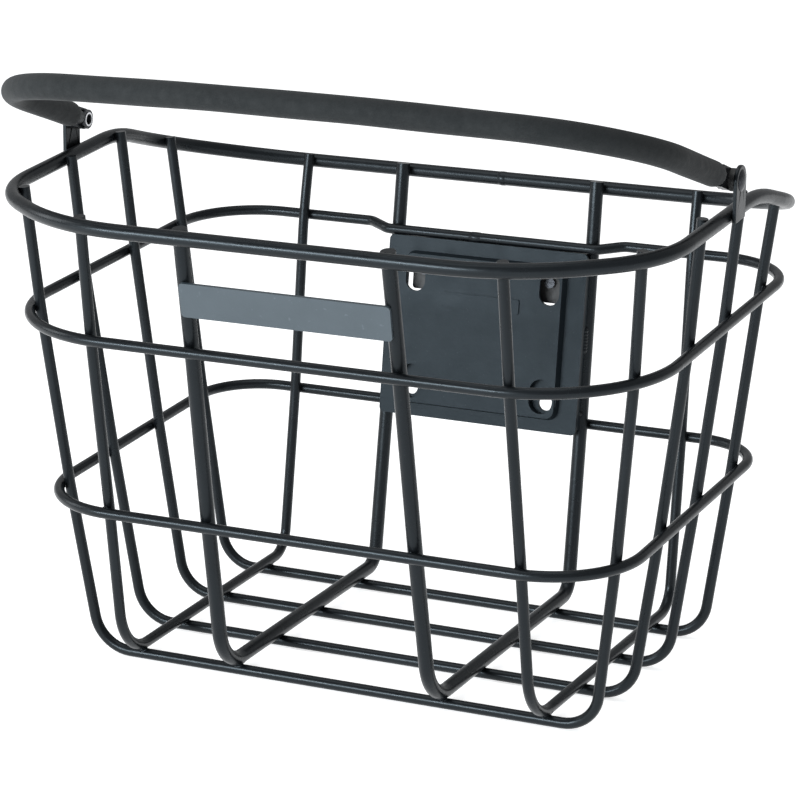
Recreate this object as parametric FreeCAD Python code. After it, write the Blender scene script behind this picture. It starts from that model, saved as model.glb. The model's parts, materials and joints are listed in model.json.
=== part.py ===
import FreeCAD, Part
import math
import os

from FreeCAD import Vector

# Handlebar basket. Millimetres, +X right, +Y towards the bicycle, +Z up.
# Z is measured from the surface that the basket stands on, Y from the middle of the rim.
# The finished pieces are moved along Y so that the origin is below the middle of their box.

# Wire
THICK = 8.0                  # rim and the two inner long wires
THIN = 6.0                   # all other wires
BITE = 0.4                   # how far two welded wires sink into each other
TOUCH = 0.04                 # how far a welded sheet sinks into a wire
PROUD = 3.0                  # cut ends of the uprights above the rim's centre line
KNEE_RADIUS = 300.0          # slight bend of an upright where it passes a ring
CONTACT_STEPS = 8

# Top rim: half of its outline from front to rear, as (x, y) and the radius there
RIM_HALF = ((127.1, -150.2), (187.9, -101.4), (191.4, 32.5), (198.0, 147.7), (62.0, 150.5))
RIM_RADII = (108.5, 66.0, 117.0, 82.0, 400.0)
RIM_FRONT_Z = 259.9
RIM_BEND_Y = 32.5
RIM_BEND_Z = 272.8
RIM_REAR_Z = 245.1
RIM_REAR_Y = 142.2

# Middle and lower ring: front and rear (y, z), half widths and corner radii there
MIDDLE_FRONT = (-135.6, 196.6)
MIDDLE_REAR = (141.3, 211.9)
MIDDLE_HALF_WIDTHS = (181.7, 184.3)
MIDDLE_RADII = (73.7, 45.0)
LOWER_FRONT = (-115.8, 96.7)
LOWER_REAR = (131.7, 106.5)
LOWER_HALF_WIDTHS = (167.2, 171.8)
LOWER_RADII = (50.9, 37.3)
STEP_X = 72.6                # the middle ring steps forward here to pass the inner uprights
STEP_HALF_LENGTH = 7.0
STEP_DROP = 1.0
STEP_RADIUS = 8.0

# Cross wires, front to rear: y on the floor and y at the rim
CROSS_Y = ((-71.7, -98.1), (-19.6, -33.0), (34.1, 25.7), (90.5, 86.1))
FLOOR_HALF_WIDTH = 148.7
FLOOR_SPREAD = 0.0257        # extra half width for each millimetre towards the rear
CROSS_BEND = 21.0

# Long wires: x at the front rim, front floor, rear floor and rear rim; floor corners in y
OUTER_X = (117.4, 119.6, 123.4, 122.0)
OUTER_FLOOR_Y = (-94.5, 112.7)
OUTER_BENDS = (32.0, 16.0)
INNER_X = (57.9, 61.0, 62.1, 60.9)
INNER_FLOOR_Y = (-90.4, 110.5)
INNER_BENDS = (28.0, 12.0)

# Mounting plate, in its own frame: x across, v up the uprights, d into the basket.
# d = 0 is the uprights' centre line, v = 0 is the height of the lower ring.
SHEET = 2.0
PLATE_HALF_WIDTH = 62.1
PLATE_V = (-4.2, 101.5)
FLANGE_D = 10.0              # front face of the flange
PLATE_CORNER = 3.0
PANEL_HALF_WIDTH = 49.5
PANEL_V = (4.5, 92.0)
PANEL_D = 15.0               # front face of the pressed panel
PANEL_DRAFT = 2.0
PANEL_CORNER = 5.0
SLOT_X = 42.0
SLOT_WIDTH = 12.3
SLOT_V = (70.2, 88.5)
POCKET_X = 41.0
POCKET_WIDTH = 14.5
POCKET_V = (6.8, 27.0)
HOLE_X = 42.5
HOLE_V = 12.6
HOLE_RADIUS = 4.25
BLANK_HALF_WIDTH = 24.0
BLANK_V = (63.0, 71.5)
BLANK_HEIGHT = 0.8

# Adapter block behind the panel, in the plate's frame
BLOCK_HALF_WIDTH = 47.0
BLOCK_V = (70.8, 89.0)
BLOCK_D = (-7.0, 7.0)
PAD_HALF_WIDTH = 33.0
ADAPTER_SCREW_X = 39.5
ADAPTER_SCREW_V = 82.5
ADAPTER_HEAD_RADIUS = 3.0
ADAPTER_HEAD_HEIGHT = 1.8
ADAPTER_SHANK_RADIUS = 1.5
ADAPTER_SHANK_LENGTH = 10.0

# Name plate on the inner front uprights
NAME_HALF_WIDTH = 59.0
NAME_HEIGHT = 18.8
NAME_Z = 226.9
NAME_CORNER = 2.0

# Carrying bail and its pivots
PIVOT_Y = -11.6
PIVOT_Z = 288.2
BAIL_ANGLE = 17.8            # degrees above level, towards the front
BAIL_HALF_WIDTHS = (187.8, 179.6, 44.0)
BAIL_REACH = (130.0, 149.5)
BAIL_CORNER = 74.6
BAIL_ARCH_RADIUS = 200.0
CORE_DIAMETER = 8.0
GRIP_DIAMETER = 14.0
GRIP_START = 14.0
LUG_X = (186.7, 190.7)
LUG_RADIUS = 5.75
LUG_LENGTH = 15.0
SIDE_GAP = 0.1
BORE_GAP = 0.05

TAB_THICKNESS = 2.2
TAB_RADIUS = 8.0
TAB_BELOW_RIM = 2.2
TAB_WELD = 0.12

SCREW_RADIUS = 3.0
HEAD_RADIUS = 5.75
HEAD_HEIGHT = 1.8
SPACER_RADIUS = 6.0
NUT_RADIUS = 5.4
NUT_HEIGHT = 2.0
SOCKET_WIDTH = 5.0
SOCKET_DEPTH = 1.2
COLLAR_RADIUS = 3.9
COLLAR_BORE = 3.0
COLLAR_HEIGHT = 0.5

X_AXIS = Vector(1, 0, 0)
Z_AXIS = Vector(0, 0, 1)


# ---------------------------------------------------------------- helpers

def rounded_path(points, radii, closed=False):
    """Straight runs joined by tangent arcs, with one radius for each point."""
    count = len(points)
    corners = []
    for index, point in enumerate(points):
        if not closed and index in (0, count - 1):
            corners.append((point, None, point))
            continue
        back = (points[index - 1] - point).normalize()
        ahead = (points[(index + 1) % count] - point).normalize()
        half_angle = back.getAngle(ahead) / 2
        reach = radii[index] / math.tan(half_angle)
        depth = radii[index] / math.sin(half_angle) - radii[index]
        middle = point + (back + ahead).normalize() * depth
        corners.append((point + back * reach, middle, point + ahead * reach))
    edges = []
    for index, (start, middle, end) in enumerate(corners):
        if middle:
            edges.append(Part.Arc(start, middle, end).toShape())
        if closed or index + 1 < count:
            following = corners[(index + 1) % count][0]
            edges.append(Part.LineSegment(end, following).toShape())
    return Part.Wire(edges)


def sweep(path, diameter):
    """Round bar along a path."""
    first = path.Edges[0]
    start = first.valueAt(first.FirstParameter)
    direction = first.tangentAt(first.FirstParameter)
    circle = Part.makeCircle(diameter / 2, start, direction)
    return path.makePipe(Part.Face(Part.Wire(circle)))


def mirrored_x(point):
    return Vector(-point.x, point.y, point.z)


def interpolate(value, start, end):
    """Straight line through two (position, result) pairs."""
    share = (value - start[0]) / (end[0] - start[0])
    return start[1] + share * (end[1] - start[1])


def rounded_rectangle(x_range, y_range, z, radius):
    """Closed wire at height z, with equally rounded corners."""
    x_low, x_high = x_range
    y_low, y_high = y_range
    corners = [Vector(x_low, y_low, z), Vector(x_high, y_low, z),
               Vector(x_high, y_high, z), Vector(x_low, y_high, z)]
    return rounded_path(corners, [radius] * 4, closed=True)


def rounded_block(x_range, y_range, z_range, radius):
    outline = rounded_rectangle(x_range, y_range, z_range[0], radius)
    return Part.Face(outline).extrude(Vector(0, 0, z_range[1] - z_range[0]))


def slot_block(centre_x, width, y_range, z_range):
    """Block with fully round ends, standing along y."""
    x_range = (centre_x - width / 2, centre_x + width / 2)
    return rounded_block(x_range, y_range, z_range, width / 2 - 0.01)


def drafted_block(half_width, y_range, z_range, draft, radius):
    """Block whose sides slope inwards by draft from the bottom to the top."""
    low = rounded_rectangle((-half_width - draft, half_width + draft),
                            (y_range[0] - draft, y_range[1] + draft),
                            z_range[0], radius + draft)
    high = rounded_rectangle((-half_width, half_width), y_range, z_range[1], radius)
    return Part.makeLoft([low, high], True, True)


def placed(shape, placement):
    moved = shape.copy()
    moved.Placement = placement.multiply(moved.Placement)
    return moved


def cylinder_x(radius, x_range, y, z):
    length = x_range[1] - x_range[0]
    return Part.makeCylinder(radius, length, Vector(x_range[0], y, z), X_AXIS)


# ---------------------------------------------------------------- rings

class Ring:
    """A closed wire loop; height(y) is the level of its centre line."""

    def __init__(self, half_outline, half_radii, height, diameter):
        right = [Vector(x, y, height(y) - drop) for x, y, drop in half_outline]
        left = [mirrored_x(point) for point in reversed(right)]
        radii = list(half_radii) + list(reversed(half_radii))
        self.height = height
        self.diameter = diameter
        self.path = rounded_path(right + left, radii, closed=True)

    def contact(self, x, y, outward, leg_diameter):
        """Where a leg's centre line passes when the leg leans on the loop's inner side."""
        gap = (self.diameter + leg_diameter) / 2 - BITE
        for _ in range(CONTACT_STEPS):
            vertex = Part.Vertex(x, y, self.height(y))
            missing = vertex.distToShape(self.path)[0] - gap
            x += outward[0] * missing
            y += outward[1] * missing
        return Vector(x, y, self.height(y))


def rim_height(y):
    front = (RIM_HALF[0][1], RIM_FRONT_Z)
    bend = (RIM_BEND_Y, RIM_BEND_Z)
    rear = (RIM_REAR_Y, RIM_REAR_Z)
    if y < RIM_BEND_Y:
        return interpolate(y, front, bend)
    return interpolate(y, bend, rear)


def make_rim():
    outline = [(x, y, 0.0) for x, y in RIM_HALF]
    return Ring(outline, RIM_RADII, rim_height, THICK)


def make_lower_ring():
    outline = [(LOWER_HALF_WIDTHS[0], LOWER_FRONT[0], 0.0),
               (LOWER_HALF_WIDTHS[1], LOWER_REAR[0], 0.0)]
    return Ring(outline, LOWER_RADII, lambda y: interpolate(y, LOWER_FRONT, LOWER_REAR), THIN)


def make_middle_ring(upright_y):
    """The rear stretch between the inner uprights lies in front of them."""
    step_y = upright_y - (THIN + THICK) / 2 + BITE
    outline = [(MIDDLE_HALF_WIDTHS[0], MIDDLE_FRONT[0], 0.0),
               (MIDDLE_HALF_WIDTHS[1], MIDDLE_REAR[0], 0.0),
               (STEP_X + STEP_HALF_LENGTH, MIDDLE_REAR[0], 0.0),
               (STEP_X - STEP_HALF_LENGTH, step_y, STEP_DROP)]
    radii = MIDDLE_RADII + (STEP_RADIUS, STEP_RADIUS)
    return Ring(outline, radii, lambda y: interpolate(y, MIDDLE_FRONT, MIDDLE_REAR), THIN)


# ---------------------------------------------------------------- bent wires

def cut_end(upper, lower):
    """End of an upright, a little above the rim's centre line."""
    return upper + (upper - lower).normalize() * PROUD


def cross_wire(floor_y, rim_y, rim, middle, lower):
    """One wire bent from the left wall, under the floor, to the right wall."""
    base = Vector(FLOOR_HALF_WIDTH + FLOOR_SPREAD * floor_y, floor_y, THIN / 2)
    top = (rim.height(rim_y), rim_y)
    outward = (1, 0)
    contacts = []
    for ring in (lower, middle, rim):
        y = interpolate(ring.height(floor_y), (base.z, floor_y), top)
        contacts.append(ring.contact(base.x + ring.height(y) / 10, y, outward, THIN))
    right = [base] + contacts[:2] + [cut_end(contacts[2], contacts[1])]
    left = [mirrored_x(point) for point in reversed(right)]
    half_radii = [CROSS_BEND, KNEE_RADIUS, KNEE_RADIUS, 0.0]
    path = rounded_path(left + right, half_radii[::-1] + half_radii)
    return sweep(path, THIN)


def long_wire_points(x_values, floor_y, diameter, rim, rings_front, rings_rear):
    """Corner points from the front rim, down, along the floor and up to the rear rim."""
    floor_z = THIN / 2 + (THIN + diameter) / 2 - BITE
    front = []
    for ring in rings_front:
        z = ring.height(floor_y[0])
        x = interpolate(z, (floor_z, x_values[1]), (RIM_FRONT_Z, x_values[0]))
        front.append(ring.contact(x, floor_y[0], (0, -1), diameter))
    rear = []
    for ring in rings_rear:
        z = ring.height(floor_y[1])
        x = interpolate(z, (floor_z, x_values[2]), (RIM_REAR_Z, x_values[3]))
        rear.append(ring.contact(x, floor_y[1], (0, 1), diameter))
    front_end = cut_end(front[0], front[1])
    rear_end = cut_end(rear[-1], rear[-2])
    floor = [Vector(x_values[1], floor_y[0], floor_z), Vector(x_values[2], floor_y[1], floor_z)]
    return [front_end] + front[1:] + floor + rear[:-1] + [rear_end]


def long_wire(points, bends, knees_rear, side, diameter):
    """One wire bent from the front wall, over the floor, to the rear wall."""
    radii = [0.0, KNEE_RADIUS, KNEE_RADIUS, bends[0], bends[1]]
    radii += [KNEE_RADIUS] * knees_rear + [0.0]
    corners = [Vector(side * point.x, point.y, point.z) for point in points]
    return sweep(rounded_path(corners, radii), diameter)


# ---------------------------------------------------------------- plates

def plate_placement(low, high):
    """Frame with x across, y from low to high along an upright and z towards the front."""
    up = Vector(0, high.y - low.y, high.z - low.z).normalize()
    rotation = FreeCAD.Rotation(X_AXIS, up, X_AXIS.cross(up), "XYZ")
    return FreeCAD.Placement(Vector(0, low.y, low.z), rotation)


def mounting_plate():
    """Pressed sheet: flange with folded side lips, raised panel, slots, pockets and holes."""
    flange_back = FLANGE_D - SHEET
    plate = rounded_block((-PLATE_HALF_WIDTH, PLATE_HALF_WIDTH), PLATE_V,
                          (flange_back, FLANGE_D), PLATE_CORNER)
    lip_v = (PLATE_V[0] + PLATE_CORNER, PLATE_V[1] - PLATE_CORNER)
    lip_d = THICK / 2 - TOUCH
    for x_low in (-PLATE_HALF_WIDTH, PLATE_HALF_WIDTH - SHEET):
        plate = plate.fuse(Part.makeBox(SHEET, lip_v[1] - lip_v[0], flange_back - lip_d,
                                        Vector(x_low, lip_v[0], lip_d)))
    hollow_v = (PANEL_V[0] + SHEET, PANEL_V[1] - SHEET)
    panel = drafted_block(PANEL_HALF_WIDTH, PANEL_V, (flange_back, PANEL_D),
                          PANEL_DRAFT, PANEL_CORNER)
    hollow = drafted_block(PANEL_HALF_WIDTH - SHEET, hollow_v, (flange_back - 1, PANEL_D - SHEET),
                           PANEL_DRAFT, PANEL_CORNER - SHEET)
    plate = plate.fuse(panel).cut(hollow)
    plate = plate.fuse(rounded_block((-BLANK_HALF_WIDTH, BLANK_HALF_WIDTH), BLANK_V,
                                     (PANEL_D - SHEET, PANEL_D + BLANK_HEIGHT), 1.0))
    tub_v = (POCKET_V[0] - SHEET, POCKET_V[1] + SHEET)
    above = PANEL_D + 1
    for side in (-1, 1):
        pocket_x = side * POCKET_X
        tub = slot_block(pocket_x, POCKET_WIDTH + 2 * SHEET, tub_v, (flange_back, PANEL_D - 1))
        plate = plate.fuse(tub)
        plate = plate.cut(slot_block(pocket_x, POCKET_WIDTH, POCKET_V, (FLANGE_D, above)))
        plate = plate.cut(slot_block(side * SLOT_X, SLOT_WIDTH, SLOT_V, (flange_back - 1, above)))
        plate = plate.cut(Part.makeCylinder(HOLE_RADIUS, PANEL_D,
                                            Vector(side * HOLE_X, HOLE_V, 0)))
    return plate.removeSplitter()


def adapter_block():
    """Moulded block behind the slots; its pad bears on the back of the panel."""
    block = rounded_block((-BLOCK_HALF_WIDTH, BLOCK_HALF_WIDTH), BLOCK_V, BLOCK_D, 2.0)
    pad = Part.makeBox(2 * PAD_HALF_WIDTH, BLOCK_V[1] - BLOCK_V[0],
                       PANEL_D - SHEET - BLOCK_D[1],
                       Vector(-PAD_HALF_WIDTH, BLOCK_V[0], BLOCK_D[1]))
    block = block.fuse(pad)
    for side in (-1, 1):
        block = block.cut(adapter_screw(side))
    return block.removeSplitter()


def adapter_screw(side):
    """Small pan-head screw in the block, in line with a slot."""
    at = Vector(side * ADAPTER_SCREW_X, ADAPTER_SCREW_V, BLOCK_D[1])
    head = Part.makeCylinder(ADAPTER_HEAD_RADIUS, ADAPTER_HEAD_HEIGHT, at)
    shank = Part.makeCylinder(ADAPTER_SHANK_RADIUS, ADAPTER_SHANK_LENGTH, at, -Z_AXIS)
    return head.fuse(shank).removeSplitter()


def name_plate():
    """Blank plate, lying on the outer side of the two inner front uprights."""
    low = THICK / 2 - TOUCH
    return rounded_block((-NAME_HALF_WIDTH, NAME_HALF_WIDTH), (-NAME_HEIGHT / 2, NAME_HEIGHT / 2),
                         (low, low + SHEET), NAME_CORNER)


# ---------------------------------------------------------------- bail

def bail_point(x, reach):
    """Point in the bail's plane, at a distance from the pivot axis."""
    angle = math.radians(BAIL_ANGLE)
    return Vector(x, PIVOT_Y - reach * math.cos(angle), PIVOT_Z + reach * math.sin(angle))


def bail_path(start):
    """Centre line of the bail, from start on one arm to start on the other."""
    pivot_x, corner_x, arch_x = BAIL_HALF_WIDTHS
    start_x = interpolate(start, (0, pivot_x), (BAIL_REACH[0], corner_x))
    right = [bail_point(start_x, start), bail_point(corner_x, BAIL_REACH[0]),
             bail_point(arch_x, BAIL_REACH[1])]
    left = [mirrored_x(point) for point in reversed(right)]
    half_radii = [0.0, BAIL_CORNER, BAIL_ARCH_RADIUS]
    return rounded_path(right + left, half_radii + half_radii[::-1])


def bail_lug(side):
    """Flattened end of the core with the pivot bore."""
    length = LUG_X[1] - LUG_X[0]
    lug = Part.makeBox(length, LUG_LENGTH, 2 * LUG_RADIUS, Vector(LUG_X[0], -LUG_LENGTH, -LUG_RADIUS))
    lug = lug.fuse(cylinder_x(LUG_RADIUS, LUG_X, 0, 0))
    lug = lug.cut(cylinder_x(SCREW_RADIUS + BORE_GAP, (LUG_X[0] - 1, LUG_X[1] + 1), 0, 0))
    lug.rotate(Vector(0, 0, 0), X_AXIS, -BAIL_ANGLE)
    lug.translate(Vector(0, PIVOT_Y, PIVOT_Z))
    return on_side(lug, side)


def on_side(shape, side):
    """The right-hand piece itself, or its mirror image for the left side."""
    if side > 0:
        return shape
    return shape.mirror(Vector(0, 0, 0), X_AXIS)


def handle_core():
    core = sweep(bail_path(LUG_RADIUS + 1), CORE_DIAMETER)
    for side in (-1, 1):
        core = core.cut(cylinder_x(SCREW_RADIUS + BORE_GAP, (-250, 250), PIVOT_Y, PIVOT_Z))
        core = core.fuse(bail_lug(side))
    return core.removeSplitter()


def handle_grip(core):
    return sweep(bail_path(GRIP_START), GRIP_DIAMETER).cut(core)


# ---------------------------------------------------------------- pivots

def tab_inner_x():
    """Inner face of a tab, which touches the rim's side tube at the tab's rear edge."""
    front = (RIM_HALF[1][1], RIM_HALF[1][0])
    bend = (RIM_HALF[2][1], RIM_HALF[2][0])
    return interpolate(PIVOT_Y + TAB_RADIUS, front, bend) + THICK / 2 - TAB_WELD


def handle_tab(side):
    """Flat tab with a round head, standing on the outer side of the rim."""
    front = PIVOT_Y - TAB_RADIUS
    rear = PIVOT_Y + TAB_RADIUS
    x = tab_inner_x()
    front_bottom = Vector(x, front, rim_height(front) - TAB_BELOW_RIM)
    rear_bottom = Vector(x, rear, rim_height(rear) - TAB_BELOW_RIM)
    front_top = Vector(x, front, PIVOT_Z)
    rear_top = Vector(x, rear, PIVOT_Z)
    outline = Part.Wire([
        Part.LineSegment(front_bottom, front_top).toShape(),
        Part.Arc(front_top, Vector(x, PIVOT_Y, PIVOT_Z + TAB_RADIUS), rear_top).toShape(),
        Part.LineSegment(rear_top, rear_bottom).toShape(),
        Part.LineSegment(rear_bottom, front_bottom).toShape(),
    ])
    tab = Part.Face(outline).extrude(Vector(TAB_THICKNESS, 0, 0))
    hole = cylinder_x(SCREW_RADIUS + BORE_GAP, (x - 1, x + TAB_THICKNESS + 1), PIVOT_Y, PIVOT_Z)
    return on_side(tab.cut(hole), side)


def pivot_stations():
    """x of each face along the pivot, from the outside inwards."""
    tab_inner = tab_inner_x()
    tab_outer = tab_inner + TAB_THICKNESS
    spacer_inner = LUG_X[1] + SIDE_GAP
    nut_outer = LUG_X[0] - SIDE_GAP
    nut_inner = nut_outer - NUT_HEIGHT
    return tab_outer, tab_inner, spacer_inner, nut_outer, nut_inner


def pivot_screw(side):
    """Shank through the tab and the lug, with a low domed head outside."""
    tab_outer, _, _, nut_outer, _ = pivot_stations()
    shank = cylinder_x(SCREW_RADIUS, (nut_outer, tab_outer), PIVOT_Y, PIVOT_Z)
    ball_radius = (HEAD_RADIUS ** 2 + HEAD_HEIGHT ** 2) / (2 * HEAD_HEIGHT) + 1
    ball = Part.makeSphere(ball_radius, Vector(tab_outer + HEAD_HEIGHT - ball_radius, PIVOT_Y, PIVOT_Z))
    head = cylinder_x(HEAD_RADIUS, (tab_outer, tab_outer + HEAD_HEIGHT), PIVOT_Y, PIVOT_Z).common(ball)
    return on_side(shank.fuse(head).removeSplitter(), side)


def pivot_spacer(side):
    """Round spacer on the screw, between tab and lug."""
    _, tab_inner, spacer_inner, _, _ = pivot_stations()
    outer = cylinder_x(SPACER_RADIUS, (spacer_inner, tab_inner), PIVOT_Y, PIVOT_Z)
    bore = cylinder_x(SCREW_RADIUS + BORE_GAP, (spacer_inner - 1, tab_inner + 1), PIVOT_Y, PIVOT_Z)
    return on_side(outer.cut(bore), side)


def hexagon_x(width, x_range):
    """Hexagonal bar along the pivot."""
    corners = []
    for turn in range(7):
        angle = math.radians(60 * turn + 30)
        corners.append(Vector(x_range[0], PIVOT_Y + width / math.sqrt(3) * math.cos(angle),
                              PIVOT_Z + width / math.sqrt(3) * math.sin(angle)))
    return Part.Face(Part.makePolygon(corners)).extrude(Vector(x_range[1] - x_range[0], 0, 0))


def pivot_nut(side):
    """Low round nut with a hexagon socket, screwed on the end of the shank."""
    _, _, _, outer, inner = pivot_stations()
    nut = cylinder_x(NUT_RADIUS, (inner, outer), PIVOT_Y, PIVOT_Z)
    socket = hexagon_x(SOCKET_WIDTH, (inner - 1, inner + SOCKET_DEPTH))
    return on_side(nut.cut(socket), side)


def pivot_collar(side):
    """Bright ring round the socket, on the nut's face."""
    _, _, _, _, inner = pivot_stations()
    ring = cylinder_x(COLLAR_RADIUS, (inner - COLLAR_HEIGHT, inner), PIVOT_Y, PIVOT_Z)
    bore = cylinder_x(COLLAR_BORE, (inner - COLLAR_HEIGHT - 1, inner + 1), PIVOT_Y, PIVOT_Z)
    return on_side(ring.cut(bore), side)


# ---------------------------------------------------------------- assembly

def build():
    parts = {}
    rim = make_rim()
    lower = make_lower_ring()

    inner_rear = [lower.contact(INNER_X[2], INNER_FLOOR_Y[1], (0, 1), THICK),
                  rim.contact(INNER_X[3], INNER_FLOOR_Y[1], (0, 1), THICK)]
    crossing_z = MIDDLE_REAR[1] - STEP_DROP
    crossing_y = interpolate(crossing_z, (inner_rear[0].z, inner_rear[0].y),
                             (inner_rear[1].z, inner_rear[1].y))
    middle = make_middle_ring(crossing_y)

    parts["top_rim"] = sweep(rim.path, THICK)
    parts["middle_ring"] = sweep(middle.path, THIN)
    parts["lower_ring"] = sweep(lower.path, THIN)

    for number, (floor_y, rim_y) in enumerate(CROSS_Y, start=1):
        parts["cross_wire_%d" % number] = cross_wire(floor_y, rim_y, rim, middle, lower)

    outer_points = long_wire_points(OUTER_X, OUTER_FLOOR_Y, THIN, rim,
                                    (rim, middle, lower), (lower, middle, rim))
    inner_points = long_wire_points(INNER_X, INNER_FLOOR_Y, THICK, rim,
                                    (rim, middle, lower), (lower, rim))
    parts["long_wire_1"] = long_wire(outer_points, OUTER_BENDS, 2, -1, THIN)
    parts["long_wire_2"] = long_wire(inner_points, INNER_BENDS, 1, -1, THICK)
    parts["long_wire_3"] = long_wire(inner_points, INNER_BENDS, 1, 1, THICK)
    parts["long_wire_4"] = long_wire(outer_points, OUTER_BENDS, 2, 1, THIN)

    back_frame = plate_placement(inner_points[5], inner_points[6])
    plate = mounting_plate()
    block = adapter_block()
    screws = Part.makeCompound([adapter_screw(-1), adapter_screw(1)])
    for name, shape in (("mounting_plate", plate), ("adapter_block", block),
                        ("adapter_screws", screws)):
        parts[name] = placed(shape, back_frame)

    front_low = inner_points[1]
    front_high = inner_points[0]
    centre_y = interpolate(NAME_Z, (front_low.z, front_low.y), (front_high.z, front_high.y))
    front_frame = plate_placement(front_low, front_high)
    front_frame.Base = Vector(0, centre_y, NAME_Z)
    parts["name_plate"] = placed(name_plate(), front_frame)

    core = handle_core()
    parts["handle_core"] = core
    parts["handle_grip"] = handle_grip(core)

    for name, side in (("left", -1), ("right", 1)):
        parts["handle_tab_" + name] = handle_tab(side)
        parts["pivot_screw_" + name] = pivot_screw(side)
        parts["pivot_spacer_" + name] = pivot_spacer(side)
        parts["pivot_nut_" + name] = pivot_nut(side)
        parts["pivot_collar_" + name] = pivot_collar(side)
    return parts


def save(parts):
    """Write every piece, with the origin below the middle of the whole box."""
    whole = Part.makeCompound(list(parts.values())).optimalBoundingBox(False)
    to_middle = Vector(0, -(whole.YMin + whole.YMax) / 2, 0)
    os.makedirs("parts", exist_ok=True)
    for name, shape in parts.items():
        moved = shape.copy()
        moved.translate(to_middle)
        moved.exportStep("parts/%s.step" % name)
        print("%-20s %9.1f mm3  %d solid(s)  valid %s" %
              (name, moved.Volume, len(moved.Solids), moved.isValid()))


save(build())
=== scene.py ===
import json
import math
import random

import bmesh
import bpy
import numpy as np
from mathutils import Matrix, Vector
from mathutils.bvhtree import BVHTree


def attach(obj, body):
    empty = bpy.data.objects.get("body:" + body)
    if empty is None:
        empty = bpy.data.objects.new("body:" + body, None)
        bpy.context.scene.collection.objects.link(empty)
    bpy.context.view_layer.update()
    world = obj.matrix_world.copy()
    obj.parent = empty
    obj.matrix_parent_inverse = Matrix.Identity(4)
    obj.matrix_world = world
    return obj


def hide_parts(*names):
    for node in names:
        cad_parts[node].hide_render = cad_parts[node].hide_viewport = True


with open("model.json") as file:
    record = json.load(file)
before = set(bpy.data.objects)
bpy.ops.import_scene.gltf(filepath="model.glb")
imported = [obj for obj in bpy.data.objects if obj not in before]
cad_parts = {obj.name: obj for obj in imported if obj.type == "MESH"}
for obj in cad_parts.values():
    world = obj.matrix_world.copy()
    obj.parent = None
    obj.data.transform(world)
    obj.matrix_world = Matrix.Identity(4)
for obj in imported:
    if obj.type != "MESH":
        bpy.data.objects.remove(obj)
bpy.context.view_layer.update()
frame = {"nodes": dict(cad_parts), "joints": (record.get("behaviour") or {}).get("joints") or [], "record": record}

# Sizes in metres, angles in degrees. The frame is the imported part's own.
THICK_RADIUS = 0.004
THIN_RADIUS = 0.003
THICK_WIRES = ("top_rim", "long_wire_2", "long_wire_3")
RINGS = ("top_rim", "middle_ring", "lower_ring")
CROSS_WIRES = ("cross_wire_1", "cross_wire_2", "cross_wire_3", "cross_wire_4")
LONG_WIRES = ("long_wire_1", "long_wire_2", "long_wire_3", "long_wire_4")

# Carrying bail: half widths and reach from the pivot axis, as in the CAD part
BAIL_ANGLE = 17.8
BAIL_HALF_WIDTHS = (0.1878, 0.1796, 0.0440)
BAIL_REACH = (0.1300, 0.1495)
BAIL_CORNER = 0.0746
BAIL_ARCH_RADIUS = 0.200
GRIP_START = 0.014
GRIP_RADIUS = 0.0070
GRIP_BORE = 0.00405

# Camera
CAMERA_PLACE = (0.6678, -1.5049, 0.5945)
CAMERA_FORWARD = (-0.3807, 0.8892, -0.2536)
CAMERA_ROLL = 0.82
CAMERA_LENS = 140.0
CAMERA_SHIFT = (-0.0426, -0.0358)


# ---------------------------------------------------------------- materials

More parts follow.
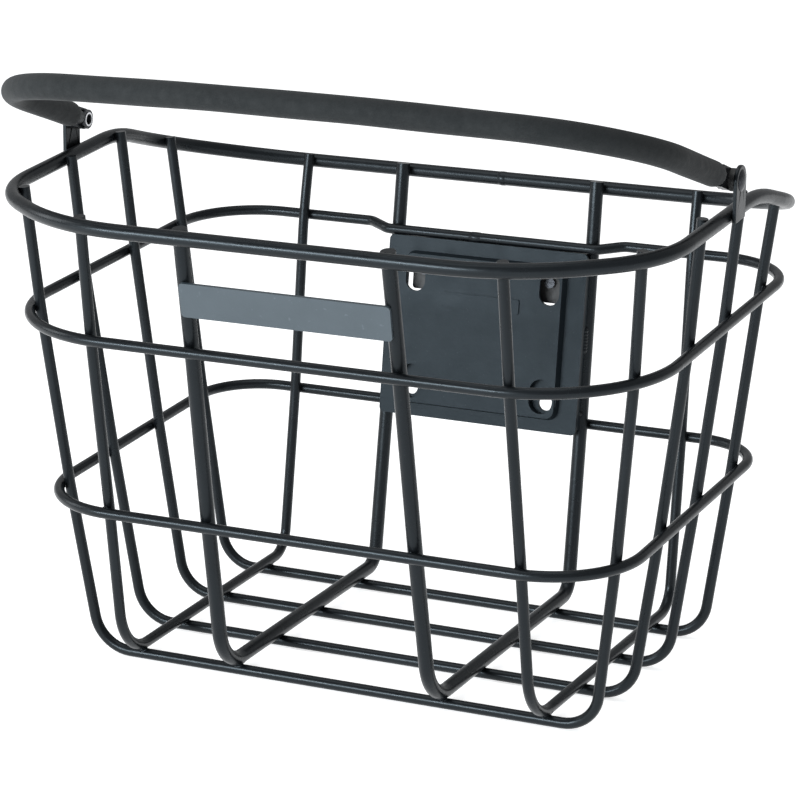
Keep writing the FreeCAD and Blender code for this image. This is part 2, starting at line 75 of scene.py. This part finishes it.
class Surface:
    """A node material whose pattern lives in the object's own coordinates."""

    def __init__(self, name):
        self.material = bpy.data.materials.new(name)
        self.material.use_nodes = True
        self.nodes = self.material.node_tree.nodes
        self.links = self.material.node_tree.links
        self.shader = self.nodes["Principled BSDF"]
        self.place = self.nodes.new("ShaderNodeTexCoord").outputs["Object"]

    def noise(self, size, detail=3.0, roughness=0.55):
        """Cloudy pattern between 0 and 1, with features about size metres wide."""
        node = self.nodes.new("ShaderNodeTexNoise")
        node.inputs["Scale"].default_value = 1.0 / size
        node.inputs["Detail"].default_value = detail
        node.inputs["Roughness"].default_value = roughness
        self.links.new(self.place, node.inputs["Vector"])
        return node.outputs["Fac"]

    def stretch(self, value, low, high, to_low=0.0, to_high=1.0):
        """Maps low..high to to_low..to_high, clamped."""
        node = self.nodes.new("ShaderNodeMapRange")
        node.inputs["From Min"].default_value = low
        node.inputs["From Max"].default_value = high
        node.inputs["To Min"].default_value = to_low
        node.inputs["To Max"].default_value = to_high
        self.links.new(value, node.inputs["Value"])
        return node.outputs["Result"]

    def blend(self, share, first, second):
        """Mix of two colours, which are constants or sockets."""
        node = self.nodes.new("ShaderNodeMix")
        node.data_type = "RGBA"
        self.links.new(share, node.inputs["Factor"])
        for socket, value in ((node.inputs[6], first), (node.inputs[7], second)):
            if isinstance(value, tuple):
                socket.default_value = (*value, 1.0)
            else:
                self.links.new(value, socket)
        return node.outputs[2]

    def calculate(self, operation, first, second):
        node = self.nodes.new("ShaderNodeMath")
        node.operation = operation
        for socket, value in ((node.inputs[0], first), (node.inputs[1], second)):
            if isinstance(value, float):
                socket.default_value = value
            else:
                self.links.new(value, socket)
        return node.outputs[0]

    def height(self):
        """Height above the floor, in metres."""
        node = self.nodes.new("ShaderNodeSeparateXYZ")
        self.links.new(self.place, node.inputs[0])
        return node.outputs["Z"]

    def colour(self, value):
        self.links.new(value, self.shader.inputs["Base Color"])

    def rough(self, value):
        self.links.new(value, self.shader.inputs["Roughness"])

    def bump(self, height, depth):
        """Relief of at most depth metres; calls add up."""
        node = self.nodes.new("ShaderNodeBump")
        node.inputs["Strength"].default_value = 1.0
        node.inputs["Distance"].default_value = depth
        self.links.new(height, node.inputs["Height"])
        before = self.shader.inputs["Normal"].links
        if before:
            self.links.new(before[0].from_socket, node.inputs["Normal"])
        self.links.new(node.outputs["Normal"], self.shader.inputs["Normal"])

    def set(self, **values):
        """Constant shader inputs, by their names in small letters."""
        for name, value in values.items():
            title = name.replace("_", " ").title().replace("Ior", "IOR")
            self.shader.inputs[title].default_value = value


def powder_coat():
    """Satin black paint with orange peel, pale dust specks and a scuffed underside."""
    s = Surface("powder_coat_black")
    clouds = s.stretch(s.noise(0.045), 0.35, 0.65)
    # Paint tone varies at random; the bluish cast of both colours is painted light, standing in for the bluish
    # cast of the lighting.
    paint = s.blend(clouds, (0.0030, 0.0036, 0.0044), (0.0050, 0.0060, 0.0072))
    specks = s.stretch(s.noise(0.0011, 2.0), 0.70, 0.76)
    paint = s.blend(s.calculate("MULTIPLY", specks, 0.30), paint, (0.045, 0.050, 0.055))
    near_floor = s.stretch(s.height(), 0.0004, 0.0016, 1.0, 0.0)
    patches = s.stretch(s.noise(0.006), 0.45, 0.60)
    worn = s.calculate("MULTIPLY", near_floor, patches)
    s.colour(s.blend(worn, paint, (0.070, 0.072, 0.075)))
    s.rough(s.calculate("ADD", s.stretch(s.noise(0.009), 0.3, 0.7, 0.25, 0.34),
                        s.calculate("MULTIPLY", worn, 0.3)))
    s.bump(s.noise(0.0022, 1.5), 0.00005)
    s.bump(s.noise(0.00055, 2.0), 0.000012)
    # The bluish specular tint paints the bluish cast of the light into the reflections.
    s.set(specular_tint=(0.80, 0.92, 1.0, 1.0), specular_ior_level=0.27)
    return s.material


def sheet_paint_with_painted_light():
    """The same paint on pressed sheet, where it lies flatter, with painted light: a lighter, bluer base than the
    wires' stands in for the light the flat sheet reflects.
    """
    s = Surface("powder_coat_sheet_painted_light")
    clouds = s.stretch(s.noise(0.030), 0.30, 0.70)
    # Painted light: lighter and bluer than the wire paint, standing in for the light reflected off the flat sheet.
    paint = s.blend(clouds, (0.0070, 0.0106, 0.0134), (0.0098, 0.0140, 0.0176))
    specks = s.stretch(s.noise(0.0012, 2.0), 0.70, 0.76)
    s.colour(s.blend(s.calculate("MULTIPLY", specks, 0.25), paint, (0.085, 0.092, 0.100)))
    s.rough(s.stretch(s.noise(0.012), 0.3, 0.7, 0.36, 0.46))
    s.bump(s.noise(0.0025, 1.5), 0.00005)
    s.bump(s.noise(0.0006, 2.0), 0.000012)
    # The bluish specular tint paints the bluish cast of the light into the reflections.
    s.set(specular_tint=(0.80, 0.92, 1.0, 1.0), specular_ior_level=0.17)
    return s.material


def name_panel_paint():
    """Slate grey satin of the blank name plate, slightly marked by handling."""
    s = Surface("name_panel_slate")
    clouds = s.stretch(s.noise(0.025), 0.35, 0.65)
    paint = s.blend(clouds, (0.038, 0.053, 0.064), (0.044, 0.060, 0.072))
    marks = s.stretch(s.noise(0.0035, 4.0), 0.66, 0.72)
    s.colour(s.blend(s.calculate("MULTIPLY", marks, 0.35), paint, (0.120, 0.145, 0.170)))
    s.rough(s.stretch(s.noise(0.010), 0.3, 0.7, 0.38, 0.48))
    s.bump(s.noise(0.0016, 1.5), 0.00003)
    return s.material


def foam_rubber():
    """Closed-cell foam: matt, fine pores, faint larger dents."""
    s = Surface("foam_black")
    clouds = s.stretch(s.noise(0.020), 0.3, 0.7)
    # Tone varies at random; the bluish-green cast of these colours is painted light, standing in for the cast of
    # the lighting.
    base = s.blend(clouds, (0.0046, 0.0062, 0.0070), (0.0070, 0.0092, 0.0102))
    pores = s.stretch(s.noise(0.0007, 2.0), 0.35, 0.65)
    s.colour(s.blend(pores, base, (0.0092, 0.0116, 0.0126)))
    s.rough(s.stretch(s.noise(0.004), 0.3, 0.7, 0.78, 0.92))
    s.bump(s.noise(0.0006, 2.0), 0.00010)
    s.bump(s.noise(0.0070, 2.0), 0.00025)
    s.set(sheen_weight=0.05, sheen_roughness=0.5, specular_ior_level=0.35)
    return s.material


def moulded_plastic():
    """Glass-filled moulding with a fine spark-eroded grain."""
    s = Surface("moulding_black")
    s.colour(s.blend(s.stretch(s.noise(0.010), 0.3, 0.7), (0.0090, 0.0095, 0.0100),
                     (0.0140, 0.0148, 0.0155)))
    s.rough(s.stretch(s.noise(0.003), 0.3, 0.7, 0.45, 0.60))
    s.bump(s.noise(0.0005, 2.0), 0.00004)
    return s.material


def metal(name, dark, light, roughness):
    """Plated steel with drawn marks and slight tarnish."""
    s = Surface(name)
    s.colour(s.blend(s.stretch(s.noise(0.0015, 4.0), 0.3, 0.7), dark, light))
    s.rough(s.stretch(s.noise(0.0008, 3.0), 0.3, 0.7, roughness, roughness + 0.12))
    s.bump(s.noise(0.0005, 3.0), 0.00001)
    s.set(metallic=1.0)
    return s.material


def pale_floor():
    s = Surface("floor_pale")
    s.colour(s.blend(s.stretch(s.noise(0.8), 0.3, 0.7), (0.90, 0.90, 0.90), (0.92, 0.92, 0.92)))
    s.rough(s.stretch(s.noise(0.05), 0.3, 0.7, 0.85, 0.95))
    s.set(emission_color=(1.0, 1.0, 1.0, 1.0), emission_strength=0.60)
    return s.material


MATERIALS = {
    "powder_coat": powder_coat(),
    "sheet": sheet_paint_with_painted_light(),
    "name_panel": name_panel_paint(),
    "foam": foam_rubber(),
    "moulding": moulded_plastic(),
    "bright_steel": metal("bright_steel", (0.55, 0.56, 0.58), (0.75, 0.76, 0.78), 0.18),
    "dark_steel": metal("dark_steel", (0.030, 0.032, 0.036), (0.055, 0.058, 0.064), 0.24),
}


# ---------------------------------------------------------------- CAD nodes

def paint(thing, material):
    thing.data.materials.clear()
    thing.data.materials.append(material)


def soften_edges(node, width):
    """Rounds a CAD node's sharp edges as its paint does, without touching its mesh."""
    joined = node.modifiers.new("join_faces", "WELD")
    joined.merge_threshold = 0.00001
    rounded = node.modifiers.new("round_edges", "BEVEL")
    rounded.width = width
    rounded.segments = 2
    rounded.limit_method = "ANGLE"
    rounded.angle_limit = math.radians(35)
    level = node.modifiers.new("keep_large_faces_flat", "WEIGHTED_NORMAL")
    level.weight = 90
    node.data.polygons.foreach_set("use_smooth", [True] * len(node.data.polygons))


def dress_cad_nodes():
    slots = {row["node"]: row["material_slot"] for row in frame["record"]["subparts"]}
    for name, node in frame["nodes"].items():
        paint(node, MATERIALS[slots[name]])
    # The mounting plate gets the sheet paint, whose lighter, bluer base is painted light.
    paint(frame["nodes"]["mounting_plate"], MATERIALS["sheet"])
    for name in ("mounting_plate", "handle_tab_left", "handle_tab_right"):
        soften_edges(frame["nodes"][name], 0.0006)
    paint(frame["nodes"]["handle_core"], MATERIALS["powder_coat"])
    soften_edges(frame["nodes"]["name_plate"], 0.0004)
    soften_edges(frame["nodes"]["adapter_block"], 0.0005)
    for name in CROSS_WIRES + LONG_WIRES:
        soften_edges(frame["nodes"][name], 0.0005)


# ---------------------------------------------------------------- mesh helpers

def add_object(name, rings, closed_rings, body, material):
    """Object from rings of points; consecutive rings are joined by quads."""
    mesh = bpy.data.meshes.new(name)
    vertices = [point for ring in rings for point in ring]
    faces = []
    count = len(rings[0])
    for index in range(len(rings) if closed_rings else len(rings) - 1):
        this, following = index * count, (index + 1) % len(rings) * count
        for step in range(count):
            ahead = (step + 1) % count
            faces.append((this + step, this + ahead, following + ahead, following + step))
    if not closed_rings:
        faces.append(tuple(reversed(range(count))))
        faces.append(tuple(range(len(vertices) - count, len(vertices))))
    mesh.from_pydata(vertices, [], faces)
    mesh.polygons.foreach_set("use_smooth", [True] * len(mesh.polygons))
    mesh.validate()
    thing = bpy.data.objects.new(name, mesh)
    bpy.context.scene.collection.objects.link(thing)
    paint(thing, material)
    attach(thing, body)
    return thing


def join_objects(name, things, body, material):
    """One object from several meshes."""
    gathered = bmesh.new()
    for thing in things:
        gathered.from_mesh(thing.data)
        bpy.data.objects.remove(thing)
    mesh = bpy.data.meshes.new(name)
    bmesh.ops.recalc_face_normals(gathered, faces=gathered.faces)
    gathered.to_mesh(mesh)
    gathered.free()
    whole = bpy.data.objects.new(name, mesh)
    bpy.context.scene.collection.objects.link(whole)
    paint(whole, material)
    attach(whole, body)
    return whole


# ---------------------------------------------------------------- foam grip

def rounded_line(points, radii, step):
    """Points about step apart along straight runs joined by tangent arcs."""
    corners = []
    for index, point in enumerate(points):
        if index in (0, len(points) - 1):
            corners.append([point])
            continue
        back = (points[index - 1] - point).normalized()
        ahead = (points[index + 1] - point).normalized()
        half_angle = back.angle(ahead) / 2
        centre = point + (back + ahead).normalized() * (radii[index] / math.sin(half_angle))
        reach = radii[index] / math.tan(half_angle)
        first = point + back * reach - centre
        last = point + ahead * reach - centre
        turn = first.angle(last)
        count = max(2, round(turn * radii[index] / step))
        axis = first.cross(last).normalized()
        corners.append([centre + Matrix.Rotation(turn * n / count, 3, axis) @ first
                        for n in range(count + 1)])
    line = []
    for index, arc in enumerate(corners):
        line += arc
        if index + 1 < len(corners):
            following = corners[index + 1][0]
            count = max(1, round((following - arc[-1]).length / step))
            line += [arc[-1].lerp(following, n / count) for n in range(1, count)]
    return line


def bail_line(start, step):
    """Centre line of the bail from one arm's start to the other's."""
    pivot = Vector(frame["joints"][0]["pos_m"])
    angle = math.radians(BAIL_ANGLE)
    forward = Vector((0, -math.cos(angle), math.sin(angle)))
    pivot_x, corner_x, arch_x = BAIL_HALF_WIDTHS
    start_x = pivot_x + (corner_x - pivot_x) * start / BAIL_REACH[0]
    right = [(start_x, start), (corner_x, BAIL_REACH[0]), (arch_x, BAIL_REACH[1])]
    left = [(-x, reach) for x, reach in reversed(right)]
    points = [pivot + Vector((x, 0, 0)) + forward * reach for x, reach in right + left]
    radii = [0, BAIL_CORNER, BAIL_ARCH_RADIUS, BAIL_ARCH_RADIUS, BAIL_CORNER, 0]
    return rounded_line(points, radii, step)


def tube_rings(line, radius_at, sides):
    """Rings across a line; radius_at(distance, whole length, angle) gives each point's radius."""
    lengths = [0.0]
    for before, point in zip(line, line[1:]):
        lengths.append(lengths[-1] + (point - before).length)
    across = (line[1] - line[0]).normalized().orthogonal().normalized()
    rings = []
    for index, point in enumerate(line):
        ahead = line[min(index + 1, len(line) - 1)] - line[max(index - 1, 0)]
        ahead.normalize()
        across = (across - ahead * across.dot(ahead)).normalized()
        other = ahead.cross(across)
        ring = []
        for side in range(sides):
            angle = 2 * math.pi * side / sides
            radius = radius_at(lengths[index], lengths[-1], angle)
            ring.append(point + (across * math.cos(angle) + other * math.sin(angle)) * radius)
        rings.append(ring)
    return rings


def foam_radius(distance, length, angle):
    """Full in the middle, rounded over at both cut ends, with slight hand-worn waves."""
    from_end = min(distance, length - distance)
    shoulder = 0.006
    missing = max(0.0, 1 - from_end / shoulder)
    radius = GRIP_RADIUS - 0.0022 * (1 - math.sqrt(max(0.0, 1 - missing ** 2)))
    wave = math.sin(distance * 61 + 2 * math.cos(angle)) * math.sin(distance * 23 + angle)
    return radius - 0.00012 * (1 + wave)


def foam_grip():
    line = bail_line(GRIP_START, 0.0015)
    outer = tube_rings(line, foam_radius, 40)
    bore = tube_rings(line, lambda distance, length, angle: GRIP_BORE, 40)
    grip = add_object("foam_grip", outer + bore[::-1], True, "handle", MATERIALS["foam"])
    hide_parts("handle_grip")


# ---------------------------------------------------------------- welds

def halved(triangles, longest):
    """Triangles cut across their longest sides until no side is longer than allowed."""
    while True:
        sides = np.linalg.norm(np.roll(triangles, -1, axis=1) - triangles, axis=2)
        too_long = sides.max(1) > longest
        if not too_long.any():
            return triangles
        rows = np.nonzero(too_long)[0]
        worst = sides[rows].argmax(1)
        start, end, tip = (triangles[rows, (worst + k) % 3] for k in range(3))
        middle = (start + end) / 2
        triangles = np.concatenate([triangles[~too_long], np.stack([start, middle, tip], 1),
                                    np.stack([middle, end, tip], 1)])


class Solid:
    """Fine triangles of a CAD node, for finding where it touches another."""

    def __init__(self, name):
        self.radius = THICK_RADIUS if name in THICK_WIRES else THIN_RADIUS
        mesh = frame["nodes"][name].data
        mesh.calc_loop_triangles()
        points = np.array([v.co for v in mesh.vertices])
        corners = np.array([t.vertices for t in mesh.loop_triangles])
        fine = halved(points[corners], 0.0040)
        count = len(fine)
        self.tree = BVHTree.FromPolygons(fine.reshape(-1, 3).tolist(),
                                         np.arange(3 * count).reshape(count, 3).tolist())
        self.centres = fine.mean(1)
        self.edges = fine[:, [0, 1, 1, 2, 2, 0]].reshape(-1, 2, 3)

    def near(self, point, reach):
        return self.centres[np.linalg.norm(self.centres - np.array(point), axis=1) < reach]

    def axis_near(self, point):
        """Direction in which the wire runs there."""
        spread = np.cov(self.near(point, 4 * self.radius).T)
        return Vector(np.linalg.eigh(spread)[1][:, 2])

    def section(self, x):
        """Centre of the wire's rear stretch where it passes x."""
        start, end = self.edges[:, 0], self.edges[:, 1]
        crossing = (start[:, 0] < x) & (end[:, 0] >= x) & (start[:, 1] > 0)
        share = (x - start[crossing, 0]) / (end[crossing, 0] - start[crossing, 0])
        points = start[crossing] + share[:, None] * (end[crossing] - start[crossing])
        return Vector((points.min(0) + points.max(0)) / 2)


def contacts(first, second):
    """Middle of each place where two welded wires sink into each other."""
    pairs = first.tree.overlap(second.tree)
    points = [Vector((first.centres[a] + second.centres[b]) / 2) for a, b in pairs]
    groups = []
    for point in points:
        for group in groups:
            if (group[0] - point).length < 0.02:
                group.append(point)
                break
        else:
            groups.append([point])
    return [sum(group, Vector()) / len(group) for group in groups]


def drop(offset, radius):
    """How far a wire's surface has fallen away at an offset from its top line."""
    offset = min(abs(offset), 0.93 * radius)
    return radius - math.sqrt(radius * radius - offset * offset)


def weld_collar(point, first, second, reach, chance):
    """Fillet of metal round the contact of two crossing wires."""
    axis_a, axis_b = first.axis_near(point), second.axis_near(point)
    normal = axis_a.cross(axis_b).normalized()
    if normal.dot(Vector(first.near(point, 2 * first.radius).mean(0)) - point) > 0:
        normal.negate()
    side = normal.cross(axis_a).normalized()
    steps, levels = 28, 7
    phases = [chance.uniform(0, 6.28) for _ in range(3)]
    rings = []
    for level in range(levels):
        share = level / (levels - 1)
        waist = 1 - 0.34 * math.sin(math.pi * share)
        ring = []
        for step in range(steps):
            angle = 2 * math.pi * step / steps
            lump = sum(math.sin(k * angle + phase) for k, phase in zip((2, 3, 5), phases))
            away = axis_a * math.cos(angle) + side * math.sin(angle)
            radius = reach * waist * (1 + 0.06 * lump)
            low = -drop(radius * away.dot(side), first.radius) - 0.0001
            high = drop(radius * away.cross(normal).dot(axis_b), second.radius) + 0.0001
            ring.append(point + away * radius + normal * (low + (high - low) * share))
        rings.append(ring)
    return rings


def ring_mesh(name, rings):
    """Bare object from rings of points, closed at both ends."""
    return add_object(name, rings, False, "basket", MATERIALS["powder_coat"])


def wire_welds():
    """A collar at every place where two wires touch, larger on the floor and at the plate."""
    solids = {name: Solid(name) for name in RINGS + CROSS_WIRES + LONG_WIRES}
    chance = random.Random(7)
    for title, holders, held in (("rim_welds", ("top_rim",), CROSS_WIRES + LONG_WIRES),
                                 ("middle_welds", ("middle_ring",), CROSS_WIRES + LONG_WIRES),
                                 ("lower_welds", ("lower_ring",), CROSS_WIRES + LONG_WIRES),
                                 ("floor_welds", CROSS_WIRES, LONG_WIRES)):
        collars = []
        for holder in holders:
            for name in held:
                for point in contacts(solids[holder], solids[name]):
                    reach = 0.0030 if title == "floor_welds" else 0.0026
                    if name in THICK_WIRES and point.y > 0.1:
                        reach = 0.0034
                    rings = weld_collar(point, solids[holder], solids[name], reach, chance)
                    collars.append(ring_mesh("collar", rings))
        print(title, len(collars))
        join_objects(title, collars, "basket", MATERIALS["powder_coat"])
    return solids


def stitch(name, start, end, radius, chance):
    """Row of overlapping scales left by a short weld run."""
    line = [start.lerp(end, n / 60) for n in range(61)]

    def scales(distance, length, angle):
        ripple = abs(math.sin(math.pi * distance / 0.0019))
        ends = min(1.0, 0.25 + min(distance, length - distance) / 0.0025)
        return radius * ends * (0.86 + 0.14 * ripple + chance.uniform(-0.02, 0.02))

    return ring_mesh(name, tube_rings(line, scales, 20))


def plate_welds(solids):
    """One run on each side of the mounting plate and one dab at each lower corner."""
    plate = Solid("mounting_plate")
    runs = []
    chance = random.Random(11)
    for name in ("long_wire_2", "long_wire_3"):
        touching = contacts(plate, solids[name])
        low = min(touching, key=lambda point: point.z)
        high = max(touching, key=lambda point: point.z)
        for first, last in ((0.00, 0.05), (0.42, 0.62)):
            runs.append(stitch("run", low.lerp(high, first), low.lerp(high, last), 0.0024, chance))
    join_objects("plate_welds", runs, "basket", MATERIALS["powder_coat"])


def butt_weld(name, solid, x, length, swell, chance):
    """Slightly swollen band where a ring's two ends were welded together."""
    middle = solid.section(x)
    axis = (solid.section(x + 0.004) - solid.section(x - 0.004)).normalized()
    across = axis.cross(Vector((0, 0, 1))).normalized()
    up = across.cross(axis)
    inwards = -swell if across.y > 0 else swell
    rings = []
    for share in (-0.5, -0.38, -0.28, -0.1, 0.0, 0.12, 0.26, 0.38, 0.5):
        bulge = swell * (0.5 + 0.5 * math.cos(2 * math.pi * share))
        crease = 0.35 * swell if abs(share) in (0.28, 0.26) else 0.0
        ring = []
        for step in range(32):
            angle = 2 * math.pi * step / 32
            radius = solid.radius - 0.00008 + bulge + crease * chance.uniform(0.4, 1.0)
            ring.append(middle + axis * share * length + across * inwards * 0.9 *
                        math.cos(math.pi * share) ** 2
                        + (across * math.cos(angle) + up * math.sin(angle)) * radius)
        rings.append(ring)
    return ring_mesh(name, rings)


# ---------------------------------------------------------------- stage

def lamp(name, place, target, size, power, colour=(1.0, 1.0, 1.0)):
    """Soft rectangular light aimed at a point."""
    data = bpy.data.lights.new(name, "AREA")
    data.shape = "RECTANGLE"
    data.size, data.size_y = size
    data.energy = power
    data.color = colour
    thing = bpy.data.objects.new(name, data)
    bpy.context.scene.collection.objects.link(thing)
    thing.location = place
    thing.rotation_euler = (Vector(place) - Vector(target)).to_track_quat("Z", "Y").to_euler()


def studio():
    world = bpy.data.worlds.new("studio")
    bpy.context.scene.world = world
    world.use_nodes = True
    world.node_tree.nodes["Background"].inputs["Color"].default_value = (0.97, 0.985, 1.0, 1.0)
    world.node_tree.nodes["Background"].inputs["Strength"].default_value = 0.45
    middle = (0.0, 0.0, 0.17)
    lamp("front_box", (-1.05, -2.45, 0.70), middle, (1.7, 0.5), 80.0, (0.90, 0.96, 1.0))
    lamp("top_box", (-0.3, -0.2, 2.3), middle, (1.8, 1.8), 14.0)
    lamp("side_box", (-2.4, -0.6, 1.1), middle, (0.9, 1.2), 14.0)
    mesh = bpy.data.meshes.new("floor")
    reach = 9.0
    mesh.from_pydata([(-reach, -reach, 0), (reach, -reach, 0), (reach, reach, 0),
                      (-reach, reach, 0)], [], [(0, 1, 2, 3)])
    floor = bpy.data.objects.new("floor", mesh)
    bpy.context.scene.collection.objects.link(floor)
    paint(floor, pale_floor())
    bpy.context.scene.view_settings.view_transform = "Standard"


def camera():
    data = bpy.data.cameras.new("camera")
    data.lens = CAMERA_LENS
    data.sensor_width = 36.0
    data.shift_x, data.shift_y = CAMERA_SHIFT
    thing = bpy.data.objects.new("camera", data)
    bpy.context.scene.collection.objects.link(thing)
    forward = Vector(CAMERA_FORWARD).normalized()
    level = forward.to_track_quat("-Z", "Y").to_matrix()
    roll = Matrix.Rotation(math.radians(-CAMERA_ROLL), 3, forward)
    thing.matrix_world = Matrix.Translation(CAMERA_PLACE) @ (roll @ level).to_4x4()
    bpy.context.scene.camera = thing


# ---------------------------------------------------------------- build

dress_cad_nodes()
foam_grip()
wires = wire_welds()
butt_weld("rim_butt_weld", wires["top_rim"], 0.000, 0.0060, 0.00030, random.Random(3))
butt_weld("middle_butt_weld", wires["middle_ring"], -0.009, 0.0090, 0.00040, random.Random(5))
plate_welds(wires)
camera()
studio()
